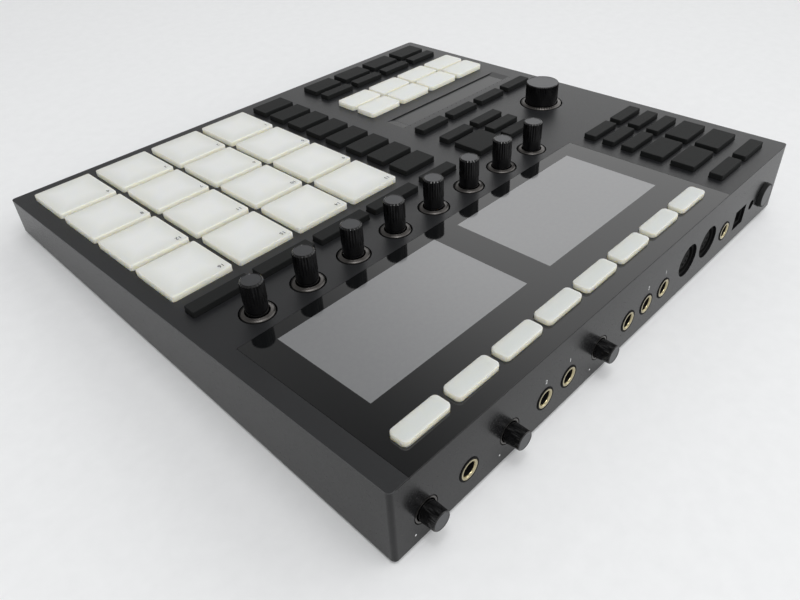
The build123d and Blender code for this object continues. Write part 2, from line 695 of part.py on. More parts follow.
def encoder_body(x, y, size, height, bushing, floor):
    """Square can on the board with a bushing that the shaft turns in."""
    top = BOARD_TOP + height
    can = block(size, size, BOARD_TOP, top, x, y)
    sleeve = disc(SHAFT_RADIUS + BUSHING_WALL, top, top + bushing, x, y)
    hole = disc(SHAFT_RADIUS + RUNNING_FIT, BOARD_TOP + floor, top + bushing + CUT_OVERRUN, x, y)
    return can + sleeve - hole


def encoder_bodies():
    small = [encoder_body(x, KNOB_LINE, ENCODER_SIZE, ENCODER_HEIGHT, BUSHING_HEIGHT, ENCODER_FLOOR)
             for x in KNOBS_X]
    return small + [encoder_body(DIAL_X, DIAL_Y, PUSH_SIZE, PUSH_HEIGHT, PUSH_BUSHING_HEIGHT, PUSH_FLOOR)]


def collar(bore, width, x, y):
    """Ring that rises towards the knob, held by a flange under the panel."""
    outer = bore + width
    flange = outer + COLLAR_GAP + COLLAR_FLANGE
    low = -PANEL - COLLAR_FLANGE_THICKNESS
    ring = turned([(bore, low), (flange, low), (flange, -PANEL), (outer, -PANEL),
                   (outer, COLLAR_EDGE), (bore, COLLAR_RISE)])
    return Pos(x, y) * ring


def knob_collars():
    small = [collar(COLLAR_BORE, COLLAR_WIDTH, x, KNOB_LINE) for x in KNOBS_X]
    return small + [collar(DIAL_COLLAR_BORE, DIAL_COLLAR_WIDTH, DIAL_X, DIAL_Y)]


# Rear sockets, their boards' parts and the rear knobs

def jack_sockets():
    """Plastic bodies behind the wall whose noses fill the wall's holes."""
    sockets = []
    back = INNER_REAR - JACK_LENGTH
    tip = REAR + NOSE_PROUD
    for x in JACKS_X:
        body = block(JACK_BODY, JACK_LENGTH, IO_TOP, IO_TOP + JACK_BODY, x, (back + INNER_REAR) / 2)
        body = body + rod(JACK_NOSE, INNER_REAR, tip, x, -JACK_DROP)
        pocket = rod(FERRULE_RADIUS + PRESS_FIT, tip - FERRULE_LENGTH, tip + CUT_OVERRUN, x, -JACK_DROP)
        bore = rod(JACK_BORE, back + JACK_END, tip, x, -JACK_DROP)
        sockets.append(body - [pocket, bore])
    return sockets


def jack_ferrules():
    """Metal mouth rings with a lead-in cone, one in each jack nose."""
    ring = turned([(JACK_BORE, NOSE_PROUD - FERRULE_LENGTH), (FERRULE_RADIUS, NOSE_PROUD - FERRULE_LENGTH),
                   (FERRULE_RADIUS, NOSE_PROUD), (FERRULE_MOUTH, NOSE_PROUD),
                   (JACK_BORE, NOSE_PROUD - FERRULE_CONE)])
    return [facing_rear(ring, x, -JACK_DROP) for x in JACKS_X]


def din_pin_holes(x, face):
    """Pin holes on a half circle, opening to the rear."""
    holes = []
    for i in range(DIN_PIN_COUNT):
        angle = math.radians(i * DIN_PIN_STEP)
        pin_x = x + DIN_PIN_CIRCLE * math.cos(angle)
        level = -DIN_DROP - DIN_PIN_CIRCLE * math.sin(angle)
        holes.append(rod(DIN_PIN_RADIUS, face - DIN_PIN_DEPTH, face + CUT_OVERRUN, pin_x, level))
    return holes


def midi_sockets():
    """Round five-pin sockets: a shell, and in its well an insert with pin holes."""
    sockets = []
    back = INNER_REAR - DIN_LENGTH
    face = REAR - DIN_RECESS
    well_end = face - DIN_SLOT_DEPTH
    insert_face = face - DIN_INSERT_DROP
    for x in DINS_X:
        shell = block(DIN_BODY, DIN_LENGTH, IO_TOP, -DIN_DROP + DIN_RADIUS, x, (back + INNER_REAR) / 2)
        shell = shell + rod(DIN_RADIUS, INNER_REAR, face, x, -DIN_DROP)
        insert = rod(DIN_INSERT, well_end, insert_face, x, -DIN_DROP)
        sockets.append(shell - rod(DIN_SLOT, well_end, face + CUT_OVERRUN, x, -DIN_DROP))
        sockets.append(insert - din_pin_holes(x, insert_face))
    return sockets


def usb_socket():
    """Square data port with its tongue."""
    face = REAR - USB_INSET
    y = face - USB_LENGTH / 2
    middle = IO_TOP + USB_HEIGHT / 2
    shell = block(USB_WIDTH, USB_LENGTH, IO_TOP, IO_TOP + USB_HEIGHT, USB_X, y)
    port = block(USB_PORT_WIDTH, USB_PORT_DEPTH, middle - USB_PORT_HEIGHT / 2, middle + USB_PORT_HEIGHT / 2,
                 USB_X, face - USB_PORT_DEPTH / 2)
    tongue = block(USB_TONGUE_WIDTH, USB_PORT_DEPTH - USB_INSET, middle - USB_TONGUE_HEIGHT / 2,
                   middle + USB_TONGUE_HEIGHT / 2, USB_X, face - (USB_PORT_DEPTH + USB_INSET) / 2)
    return [shell - port + tongue]


def power_socket():
    """Supply socket with its centre pin, behind a round hole."""
    y = INNER_REAR - DC_LENGTH / 2
    body = block(DC_WIDTH, DC_LENGTH, IO_TOP, IO_TOP + DC_HEIGHT, DC_X, y)
    well = rod(DC_BORE, INNER_REAR - DC_BORE_DEPTH, INNER_REAR, DC_X, -DC_DROP)
    pin = rod(DC_PIN, INNER_REAR - DC_BORE_DEPTH, INNER_REAR - DC_PIN_INSET, DC_X, -DC_DROP)
    return [body - well + pin]


def power_stem_end():
    """Place of the inner end of the power button's stem."""
    return INNER_REAR - SEAT_GAP - POWER_RIM_THICKNESS - POWER_STEM_LENGTH


def power_button():
    """Round push button, stopped by a rim behind the wall."""
    rim_face = INNER_REAR - SEAT_GAP
    tip = REAR + POWER_PROUD
    cap = rod(POWER_RADIUS, rim_face, tip, POWER_X, -POWER_DROP)
    cap = fillet(cap.edges().sort_by(Axis.Y)[-1], POWER_EDGE)
    rim = rod(POWER_RADIUS + POWER_RIM, rim_face - POWER_RIM_THICKNESS, rim_face, POWER_X, -POWER_DROP)
    stem = rod(POWER_STEM, power_stem_end(), rim_face - POWER_RIM_THICKNESS, POWER_X, -POWER_DROP)
    return [cap + [rim, stem]]


def power_switch():
    """Switch can that guides the power button's stem."""
    bottom = power_stem_end() - POWER_TRAVEL - PRESS_GAP
    start = bottom - SWITCH_FLOOR
    end = power_stem_end() + POWER_STEM_LENGTH - POWER_TRAVEL - POWER_CLEARANCE
    can = block(SWITCH_WIDTH, end - start, IO_TOP, IO_TOP + SWITCH_HEIGHT, POWER_X, (start + end) / 2)
    guide = rod(POWER_STEM + RUNNING_FIT, bottom, end + CUT_OVERRUN, POWER_X, -POWER_DROP)
    return [can - guide]


def rear_pots():
    """Potentiometers on the rear board, each with a collar that fills its hole in the wall."""
    front = -(WALL + POT_SETBACK)
    pots = []
    for x in REAR_KNOBS.values():
        y = REAR + front - POT_LENGTH / 2
        can = block(JACK_BODY, POT_LENGTH, IO_TOP, IO_TOP + JACK_BODY, x, y)
        can = can - rod(SHAFT_RADIUS + RUNNING_FIT, REAR + front - POT_LENGTH + POT_BACK,
                        REAR + front + CUT_OVERRUN, x, -JACK_DROP)
        sleeve = turned([(POT_COLLAR_BORE, front), (POT_COLLAR_BORE + POT_COLLAR_WIDTH, front),
                         (POT_COLLAR_BORE + POT_COLLAR_WIDTH, 0), (POT_COLLAR_BORE, 0)])
        pots.append(can + facing_rear(sleeve, x, -JACK_DROP))
    return pots


def rear_knob(x):
    """Tapered knob and its shaft, lying along the pot's axis."""
    cap = turned([(0, -REAR_KNOB_SKIRT), (REAR_KNOB_RADIUS, -REAR_KNOB_SKIRT),
                  (REAR_KNOB_END, REAR_KNOB_REACH - REAR_KNOB_CHAMFER),
                  (REAR_KNOB_END - REAR_KNOB_CHAMFER, REAR_KNOB_REACH), (0, REAR_KNOB_REACH)])
    shaft_low = -(WALL + POT_SETBACK + POT_LENGTH) + POT_BACK + SHAFT_END_GAP
    pieces = capped_shaft(cap, REAR_KNOB_BORE_DEPTH - REAR_KNOB_SKIRT, shaft_low, REAR_KNOB_SKIRT)
    return [facing_rear(piece, x, -JACK_DROP) for piece in pieces]


# Nodes, set down on the feet with the origin under the middle of the whole outline

def setting():
    """Turn that levels the underside, and the shift to the origin."""
    tilt = math.radians(SLOPE)
    front = FRONT * math.cos(tilt)
    knob_low = JACK_DROP + REAR_KNOB_END
    rear = (REAR + REAR_KNOB_REACH) * math.cos(tilt) + knob_low * math.sin(tilt)
    base = FRONT * math.sin(tilt) - FRONT_HEIGHT * math.cos(tilt)
    return Pos(0, -(front + rear) / 2, FOOT_HEIGHT - base) * Rot(SLOPE, 0, 0)


def all_nodes():
    """Every named piece, as a list of solids in the panel's own frame."""
    nodes = {"bottom_case": bottom_case(), "top_panel": top_panel(), "display_glass": display_glass(),
             "display_modules": display_modules(), "touch_strip": touch_strip(), "feet": feet(),
             "main_board": main_board(), "io_board": io_board(), "key_mats": key_mats(),
             "pad_sensor": pad_sensor(), "case_screws": case_screws(), "board_screws": board_screws(),
             "panel_standoffs": case_standoffs() + board_standoffs(),
             "encoder_bodies": encoder_bodies(), "knob_collars": knob_collars(),
             "main_encoder_knob": main_encoder_knob(),
             "main_encoder_plunger": main_encoder_plunger(), "jack_sockets": jack_sockets(),
             "jack_ferrules": jack_ferrules(), "midi_sockets": midi_sockets(), "usb_socket": usb_socket(),
             "power_socket": power_socket(), "power_button": power_button(), "power_switch": power_switch(),
             "rear_pots": rear_pots()}
    nodes.update({name: key_bank(name) for name in KEY_BANKS})
    nodes.update({f"pad_{i + 1:02d}": pad(place) for i, place in enumerate(pad_places())})
    nodes.update({f"knob_{i + 1}": knob(x) for i, x in enumerate(KNOBS_X)})
    nodes.update({name: rear_knob(x) for name, x in REAR_KNOBS.items()})
    return nodes


def main():
    os.makedirs("parts", exist_ok=True)
    place = setting()
    for name, solids in all_nodes().items():
        export_step(place * Compound(children=solids), f"parts/{name}.step")


main()
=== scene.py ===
"""Looks of a desktop pad controller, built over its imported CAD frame."""

import json
import logging
import math
from collections.abc import Iterable, Sequence
from dataclasses import dataclass, field
from enum import Enum
from typing import Any

import bmesh
import bpy
from mathutils import Matrix, Vector


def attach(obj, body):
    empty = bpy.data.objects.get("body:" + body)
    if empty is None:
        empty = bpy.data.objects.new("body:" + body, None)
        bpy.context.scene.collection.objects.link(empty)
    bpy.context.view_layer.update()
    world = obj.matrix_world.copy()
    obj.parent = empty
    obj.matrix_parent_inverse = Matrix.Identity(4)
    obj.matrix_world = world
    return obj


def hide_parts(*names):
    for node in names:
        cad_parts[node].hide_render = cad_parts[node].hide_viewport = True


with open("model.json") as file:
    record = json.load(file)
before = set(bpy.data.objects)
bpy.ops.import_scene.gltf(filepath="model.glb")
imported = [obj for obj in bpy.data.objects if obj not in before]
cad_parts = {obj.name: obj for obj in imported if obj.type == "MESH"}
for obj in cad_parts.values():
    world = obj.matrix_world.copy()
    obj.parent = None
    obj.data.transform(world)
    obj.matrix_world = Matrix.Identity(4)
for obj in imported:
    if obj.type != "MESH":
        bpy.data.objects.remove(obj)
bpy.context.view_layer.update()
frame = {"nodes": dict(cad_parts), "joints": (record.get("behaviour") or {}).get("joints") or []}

BMesh = bmesh.types.BMesh
Ring = list[bmesh.types.BMVert]
Material = bpy.types.Material
Node = bpy.types.Node
Socket = bpy.types.NodeSocket
Tree = bpy.types.NodeTree
Pair = tuple[float, float]
Triple = tuple[float, float, float]
Finishes = tuple[tuple[str, tuple[str, ...]], ...]

LOG = logging.getLogger("pad_controller")
MM = 0.001
# Corners nearer than this are one: in a CAD mesh, in metres, and in type, in millimetres
JOIN_M = 1e-6
JOIN_TYPE_MM = 1e-5
# Tolerance of a cut through a mesh, in metres
CUT_M = 1e-7
# Corners below this angle are shaded round
SMOOTH_BELOW = math.radians(35)
# A face looks up where its normal's upright part is above this share
LOOKS_UP_SHARE = 0.5
# Half the thickness of printed ink, in millimetres
INK_MM = 0.012
# Corners of a printed dot or a small lens
DOT_SEGMENTS = 12
# Detail and roughness of the noises in a finish: its grain, its wide patches and a lathe's streaks
GRAIN_NOISE = (2.0, 0.6)
PATCH_NOISE = (3.0, 0.5)
STREAK_NOISE = (3.0, 0.6)
# Share of the patches in a finish's pattern, and the spans of the pattern that colour and gloss follow
PATCH_SHARE = 0.5
COLOUR_SPAN = (0.45, 1.05)
GLOSS_SPAN = (0.3, 0.7)
# Weight of the relief in the shading
RELIEF_STRENGTH = 0.6


class Facing(Enum):
    """The way that a turned piece or a print looks."""

    TOP = "out of the top panel"
    REAR = "out of the rear wall"


@dataclass(frozen=True)
class PanelFrame:
    """The top panel's own frame: x to the right, y to the rear, z out of the panel, in millimetres.

    Attributes:
        depth: Length of the panel, front to rear.
        front_height: Height of the case at its front edge.
        rear_height: Height of the case at its rear edge.
        shift: Place of the panel's middle in the row frame, in millimetres.
    """

    depth: float = 292.3
    front_height: float = 19.1
    rear_height: float = 38.9
    shift: Triple = (0.0, -4.7265, 30.9337)

    def matrix(self) -> Matrix:
        """Gives the panel's place.

        Returns:
            The matrix from panel millimetres to row metres.
        """
        slope = math.atan((self.rear_height - self.front_height) / self.depth)
        move = Matrix.Translation(Vector(self.shift) * MM)
        return move @ Matrix.Rotation(slope, 4, "X") @ Matrix.Scale(MM, 4)

    def at(self, x: float, y: float, z: float, facing: Facing = Facing.TOP) -> Matrix:
        """Places a local frame, in millimetres, on the panel or on the rear wall.

        Args:
            x: Place to the right.
            y: Place to the rear.
            z: Place above the panel's face.
            facing: The way that the local z axis points.

        Returns:
            The matrix from that local frame to row metres.
        """
        turn = Matrix.Identity(4)
        if facing is Facing.REAR:
            turn = Matrix.Rotation(math.pi, 4, "Z") @ Matrix.Rotation(math.pi / 2, 4, "X")
        return self.matrix() @ Matrix.Translation((x, y, z)) @ turn


PANEL = PanelFrame()


@dataclass(frozen=True)
class PadGrid:
    """Places of the square pads on the panel, in millimetres.

    Attributes:
        count: Number of rows, and of pads in a row.
        size: Side of a pad.
        pitch: Distance from pad to pad.
        right: Right edge of the last column.
        front: Front edge of the first row.
        top: Level of the pads' tops.
    """

    count: int = 4
    size: float = 32.0
    pitch: float = 36.0
    right: float = 151.0
    front: float = -135.1
    top: float = 3.0

    def corner(self, index: int) -> Pair:
        """Gives the left rear corner of a pad.

        Args:
            index: The pad's number, from zero at the front left.

        Returns:
            The corner's place to the right and to the rear.
        """
        row, column = divmod(index, self.count)
        left = self.right - self.size - (self.count - 1 - column) * self.pitch
        return left, self.front + self.size + row * self.pitch

    def crossing(self) -> Vector:
        """Gives the place, in row metres, where two gaps would cross before the first pad.

        Returns:
            The place at the level of the pads' tops.
        """
        left, rear = self.corner(0)
        half_gap = (self.pitch - self.size) / 2
        return PANEL.matrix() @ Vector((left - half_gap, rear - self.size - half_gap, self.top))

    def step(self) -> Vector:
        """Gives the way, in row metres, from a pad to the one behind it on its right."""
        return PANEL.matrix().to_3x3() @ Vector((self.pitch, self.pitch, 0.0))


PADS = PadGrid()


def linear(colour: str) -> tuple[float, float, float, float]:
    """Turns an sRGB hex colour into linear values.

    Args:
        colour: The colour as #rrggbb.

    Returns:
        Red, green, blue and an alpha of one.
    """
    parts = [int(colour[i:i + 2], 16) / 255 for i in (1, 3, 5)]
    red, green, blue = [c / 12.92 if c <= 0.04045 else ((c + 0.055) / 1.055) ** 2.4 for c in parts]
    return red, green, blue, 1.0


def add_node(tree: Tree, kind: str, settings: dict[str, Any] | None = None,
             inputs: dict[str | int, Any] | None = None) -> Node:
    """Adds a node, sets it and links it.

    Args:
        tree: The tree that takes the node.
        kind: Blender's name of the node type.
        settings: Values of the node's own properties.
        inputs: For each input, a socket to link from or a value to set.

    Returns:
        The new node.
    """
    node = tree.nodes.new(kind)
    for key, value in (settings or {}).items():
        setattr(node, key, value)
    for key, value in (inputs or {}).items():
        if isinstance(value, Socket):
            tree.links.new(value, node.inputs[key])
        else:
            node.inputs[key].default_value = value
    return node


def per_metre(size_mm: float) -> float:
    """Gives the texture scale at which one feature is size_mm long."""
    return 1.0 / (size_mm * MM)


def add_noise(tree: Tree, vector: Socket, size_mm: float, detail: float, roughness: float) -> Socket:
    """Adds a noise texture.

    Args:
        tree: The tree that takes the node.
        vector: The coordinates that it follows.
        size_mm: Size of one feature.
        detail: Number of finer layers.
        roughness: Weight of the finer layers.

    Returns:
        A socket with values from zero to one.
    """
    node = add_node(tree, "ShaderNodeTexNoise", {"noise_dimensions": "3D"},
                    {"Vector": vector, "Scale": per_metre(size_mm), "Detail": detail,
                     "Roughness": roughness})
    return node.outputs["Fac"]


def map_range(tree: Tree, value: Socket, source: Pair, target: Pair = (0.0, 1.0),
              kind: str = "LINEAR") -> Socket:
    """Maps one span of values to another.

    Args:
        tree: The tree that takes the node.
        value: The socket to map.
        source: The span that it comes from.
        target: The span that it goes to.
        kind: Blender's name of the way between the ends.

    Returns:
        The mapped value's socket.
    """
    node = add_node(tree, "ShaderNodeMapRange", {"interpolation_type": kind},
                    {"Value": value, "From Min": source[0], "From Max": source[1],
                     "To Min": target[0], "To Max": target[1]})
    return node.outputs["Result"]


def calculate(tree: Tree, operation: str, *values: Socket | float) -> Socket:
    """Adds a Math node.

    Args:
        tree: The tree that takes the node.
        operation: Blender's name of the operation.
        *values: Its inputs in order, each a socket or a number.

    Returns:
        The result's socket.
    """
    node = add_node(tree, "ShaderNodeMath", {"operation": operation}, dict(enumerate(values)))
    return node.outputs["Value"]


def mix_colours(tree: Tree, share: Socket, first: Any, second: Any) -> Socket:
    """Mixes two colours.

    Args:
        tree: The tree that takes the node.
        share: The second colour's share.
        first: The first colour, a socket or linear values.
        second: The second one.

    Returns:
        The mixed colour's socket.
    """
    node = add_node(tree, "ShaderNodeMix", {"data_type": "RGBA"}, {"Factor": share, "A": first, "B": second})
    return node.outputs["Result"]


@dataclass(frozen=True)
class Finish:
    """A real material: an even body colour with a fine grain in colour, gloss and relief.

    Attributes:
        name: What the material is and how its surface was made.
        colour: Main colour.
        second: Colour of the grain's other end.
        roughness: Mean roughness.
        roughness_spread: How far the grain moves the roughness each way.
        grain_mm: Size of one grain.
        relief_mm: Height of the grain.
        mottle_mm: Size of the wide, faint patches that use leaves on a surface.
        metallic: One for bare metal.
        ior: Index of refraction.
    """

    name: str
    colour: str
    second: str
    roughness: float
    roughness_spread: float = 0.05
    grain_mm: float = 0.6
    relief_mm: float = 0.01
    mottle_mm: float = 35.0
    metallic: float = 0.0
    ior: float = 1.5

    def build(self) -> Material:
        """Makes the material.

        Returns:
            The material, ready to put on a piece.
        """
        material = bpy.data.materials.new(self.name)
        material.use_nodes = True
        tree = material.node_tree
        shader = tree.nodes["Principled BSDF"]
        shader.inputs["Metallic"].default_value = self.metallic
        if self.metallic == 0.0:
            shader.inputs["IOR"].default_value = self.ior
        coords = add_node(tree, "ShaderNodeTexCoord")
        self.paint(tree, shader, coords)
        return material

    def pattern(self, tree: Tree, coords: Node) -> Socket:
        """Gives the fine pattern that drives colour, gloss and relief.

        Args:
            tree: The material's tree.
            coords: Its Texture Coordinate node.

        Returns:
            A socket with values from zero to one.
        """
        return add_noise(tree, coords.outputs["Object"], self.grain_mm, *GRAIN_NOISE)

    def base_colour(self, tree: Tree, coords: Node, grain: Socket) -> Socket:
        """Mixes the two colours by the fine grain and by wide faint patches.

        Args:
            tree: The material's tree.
            coords: Its Texture Coordinate node.
            grain: The fine pattern.

        Returns:
            The colour socket.
        """
        patches = add_noise(tree, coords.outputs["Object"], self.mottle_mm, *PATCH_NOISE)
        both = calculate(tree, "MULTIPLY_ADD", patches, PATCH_SHARE, grain)
        share = map_range(tree, both, COLOUR_SPAN)
        return mix_colours(tree, share, linear(self.colour), linear(self.second))

    def paint(self, tree: Tree, shader: Node, coords: Node) -> None:
        """Links colour, roughness and relief to the shader.

        Args:
            tree: The material's tree.
            shader: The shader to feed.
            coords: The Texture Coordinate node.
        """
        grain = self.pattern(tree, coords)
        tree.links.new(self.base_colour(tree, coords, grain), shader.inputs["Base Color"])
        gloss = map_range(tree, grain, GLOSS_SPAN, (max(self.roughness - self.roughness_spread, 0.0),
                                                    self.roughness + self.roughness_spread))
        tree.links.new(gloss, shader.inputs["Roughness"])
        if self.relief_mm:
            bump = add_node(tree, "ShaderNodeBump", {}, {"Height": grain, "Distance": self.relief_mm * MM,
                                                         "Strength": RELIEF_STRENGTH})
            tree.links.new(bump.outputs["Normal"], shader.inputs["Normal"])


@dataclass(frozen=True)
class SpunMetal(Finish):
    """Metal faced on a lathe: fine streaks, seen as a soft sheen.

    Attributes:
        streak_mm: Width of a streak, drawn coarser than the real 0.05 mm so that it shows.
        stretch: Scale of the pattern along each axis. A small value draws the streaks out.
    """

    streak_mm: float = 0.35
    stretch: Triple = (1.0, 0.12, 1.0)

    def pattern(self, tree: Tree, coords: Node) -> Socket:
        """Gives the streaks that the lathe tool left.

        Args:
            tree: The material's tree.
            coords: Its Texture Coordinate node.

        Returns:
            A socket with values from zero to one.
        """
        drawn = add_node(tree, "ShaderNodeMapping", {},
                         {"Vector": coords.outputs["Object"], "Scale": self.stretch})
        return add_noise(tree, drawn.outputs["Vector"], self.streak_mm, *STREAK_NOISE)


@dataclass(frozen=True)
class ClearSilicone(Finish):
    """Cast translucent silicone: light goes in; its sides take painted light, a paler and warmer colour than
    the top, for the glow through the rubber.

    Attributes:
        side: Painted light on the sides: a paler, warmer colour that brightens faces which get less light
            and stands for light come a longer way through the rubber.
        depth_mm: How far light spreads in the rubber.
        spread_shares: How far red, green and blue spread, as shares of that depth.
        scatter: Share of light that goes in.
        slant: Upright parts of the normal at which the side's and the top's colours are full.
    """

    # Painted light on the sides: paler and warmer than the body colour
    side: str = "#fdf9e2"
    depth_mm: float = 9.0
    spread_shares: Triple = (0.72, 0.78, 1.0)
    scatter: float = 1.0
    slant: Pair = (0.2, 0.98)

    def paint(self, tree: Tree, shader: Node, coords: Node) -> None:
        """Links the base finish, then paints light on the faces that don't look up, in the side colour.

        Args:
            tree: The material's tree.
            shader: The shader to feed.
            coords: The Texture Coordinate node.
        """
        super().paint(tree, shader, coords)
        top = self.top_colour(tree, shader.inputs["Base Color"].links[0].from_socket, coords)
        normal = add_node(tree, "ShaderNodeSeparateXYZ", {}, {0: coords.outputs["Normal"]})
        upward = map_range(tree, normal.outputs["Z"], self.slant)
        # Painted light: faces that don't look up take the paler, warmer side colour
        colour = mix_colours(tree, upward, linear(self.side), top)
        tree.links.new(colour, shader.inputs["Base Color"])
        shader.inputs["Subsurface Weight"].default_value = self.scatter
        shader.inputs["Subsurface Radius"].default_value = self.spread_shares
        shader.inputs["Subsurface Scale"].default_value = self.depth_mm * MM

    def top_colour(self, tree: Tree, body: Socket, coords: Node) -> Socket:
        """Gives the colour of the faces that look up: here the body's own.

        Args:
            tree: The material's tree. Not used here.
            body: The body colour's socket.
            coords: The Texture Coordinate node. Not used here.

        Returns:
            The colour's socket.
        """
        return body


@dataclass(frozen=True)
class PadSilicone(ClearSilicone):
    """Thick silicone pads: whitest in the middle, with painted shade, a little darker and warmer, along
    their edges by the gaps.

    Attributes:
        rim: Painted shade along a pad's edges by the gaps.
        rim_mm: Distances from a gap's middle where that painted shade is full and where it ends.
    """

    # Painted shade along the pads' edges, darkest by the gaps between pads
    rim: str = "#d5d7d2"
    rim_mm: Pair = (1.0, 13.0)

    def top_colour(self, tree: Tree, body: Socket, coords: Node) -> Socket:
        """Mixes the painted shade of the edges into the body's colour, by the distance from the nearest gap.

        Args:
            tree: The material's tree.
            body: The body colour's socket.
            coords: The Texture Coordinate node.

        Returns:
            The mixed colour's socket.
        """
        spot = add_node(tree, "ShaderNodeSeparateXYZ", {}, {0: coords.outputs["Object"]})
        ways = []
        for axis, start, step in zip("XY", PADS.crossing(), PADS.step()):
            shift = calculate(tree, "SUBTRACT", spot.outputs[axis], start)
            ways.append(calculate(tree, "PINGPONG", shift, step / 2))
        nearest = calculate(tree, "MINIMUM", *ways)
        full, end = self.rim_mm
        share = map_range(tree, nearest, (full * MM, end * MM), kind="SMOOTHSTEP")
        return mix_colours(tree, share, linear(self.rim), body)


class Palette:
    """Every finish on the object, built once."""

    def __init__(self) -> None:
        """Builds the materials."""
        finishes = {
            # Moulded ABS with a spark-eroded grain: dull, with a faint sparkle where light grazes it
            "case": Finish("moulded ABS, spark grain, charcoal", "#121213", "#161617", 0.24, 0.05, 0.7,
                           0.010, ior=1.34),
            # The same plastic sprayed with a soft matte lacquer: even and a little paler
            "panel": Finish("matte lacquered ABS, charcoal", "#17181a", "#1c1d1f", 0.42, 0.05, 0.6, 0.008),
            # Cast acrylic sheet printed black behind: a deep gloss
            "sheet": Finish("cast acrylic, printed black behind", "#0b0c0d", "#0d0e0f", 0.06, 0.01, 3.0,
                            0.0, 90.0, ior=1.6),
            # Display cell laminated to the acrylic: an even grey under the same gloss
            "screen": Finish("display cell under acrylic", "#737476", "#777879", 0.08, 0.01, 2.0, 0.0, 60.0,
                             ior=1.95),
            # Compression-moulded silicone, black: dull with a slight bloom
            "key": Finish("moulded silicone, black", "#1a1b1b", "#1f2020", 0.6, 0.06, 0.5, 0.006, ior=1.22),
            # Cast translucent silicone: milky, with painted shade a little darker along its edges by the
            # gaps, and painted light, paler and warm, on its sides
            "pad": PadSilicone("cast silicone, translucent white", "#e0e2e0", "#e4e5e3", 0.5, 0.05, 0.8,
                               0.004, ior=1.4),
            # The same silicone in thin keys and mats: evenly milky, with painted light, paler and warm, on
            # its sides
            "milk": ClearSilicone("moulded silicone, translucent white", "#dcdfdc", "#e0e2df", 0.5, 0.05,
                                  0.8, 0.004, ior=1.4),
            # The same silicone, a shade greyer, for the keys by the displays; its sides take painted light,
            # paler and warm
            "keycap": ClearSilicone("moulded silicone, milky grey-white", "#cdd1cf", "#d1d4d1", 0.5, 0.05,
                                    0.8, 0.004, ior=1.4, side="#ebe8d4"),
            # Polished injection-moulded nylon: black with crisp highlights on the ribs
            "knob": Finish("moulded nylon, black", "#050506", "#070708", 0.16, 0.03, 0.5, 0.0, ior=1.46),
            # Aluminium faced on a lathe and dyed grey: a soft directional sheen
            "cap": SpunMetal("turned aluminium, dyed grey", "#414244", "#4a4b4d", 0.36, 0.05, metallic=0.6),
            # Aluminium turned and anodised dark grey: the collars' dull shine
            "collar": SpunMetal("turned aluminium, anodised dark grey", "#4f4d4b", "#5b5856", 0.34, 0.05,
                                metallic=0.9),
            # Nickel-washed brass: pale gold rings in the jack mouths
            "ferrule": SpunMetal("nickel-washed brass, turned", "#aea483", "#bbb190", 0.26, 0.05,
                                 metallic=1.0),
            # Glass-filled nylon of the sockets: deep black. Also painted shade on the collars' sides, in the
            # jacks' throats and in the joint strip below the top's rear edge
            "socket": Finish("glass-filled nylon, black, and painted shade", "#060606", "#080808", 0.8, 0.06, 0.4, 0.004,
                             ior=1.28),
            # Satin film of the touch strip: smooth, with a soft wide highlight
            "strip": Finish("satin polycarbonate film, charcoal", "#1a1b1c", "#1e1f20", 0.34, 0.03, 0.5,
                            0.002),
            # Smoked polycarbonate lenses of the small lights: black when off
            "lens": Finish("smoked polycarbonate, moulded", "#141516", "#191a1b", 0.25, 0.03, 0.4, 0.0),
            # Nitrile rubber of the feet: dull black
            "foot": Finish("moulded rubber, black", "#151515", "#1b1b1b", 0.75, 0.05, 0.6, 0.01),
            # Printed circuit board: green lacquer over glass cloth
            "board": Finish("glass fibre board, green lacquer", "#16422a", "#1d5034", 0.35, 0.05, 1.2,
                            0.004),
            # Drawn and tinned steel cans of the inner parts: pale with a soft sheen
            "can": SpunMetal("tinned steel, drawn", "#a2a3a5", "#b4b5b7", 0.34, 0.06, metallic=1.0),
            # Black zinc on steel screws: a dark dull shine
            "screw": SpunMetal("steel, black zinc", "#2b2b2c", "#3a3a3b", 0.4, 0.06, metallic=1.0),
            # Pad print: dull grey ink
            "ink": Finish("pad print, grey ink", "#2b2d30", "#333538", 0.6, 0.03, 0.3, 0.0),
            # Screen print: dull white ink
            "white": Finish("screen print, white ink", "#d2d3d4", "#dcdddd", 0.6, 0.03, 0.3, 0.0),
        }
        self.made: dict[str, Material] = {key: finish.build() for key, finish in finishes.items()}

    def __getitem__(self, key: str) -> Material:
        """Gives a finish by its short name."""
        return self.made[key]


def dress(material: Material, nodes: Iterable[str]) -> None:
    """Puts one material on CAD nodes that keep their shape.

    Args:
        material: The material.
        nodes: Names of the nodes.
    """
    for name in nodes:
        mesh = frame["nodes"][name].data
        mesh.materials.clear()
        mesh.materials.append(material)
        LOG.info("dressed %s in %s", name, material.name)


def add_object(name: str, data: bpy.types.ID) -> bpy.types.Object:
    """Makes an object and puts it in the scene.

    Args:
        name: Its name.
        data: Its mesh, type, lamp or camera.

    Returns:
        The new object.
    """
    item = bpy.data.objects.new(name, data)
    bpy.context.scene.collection.objects.link(item)
    return item


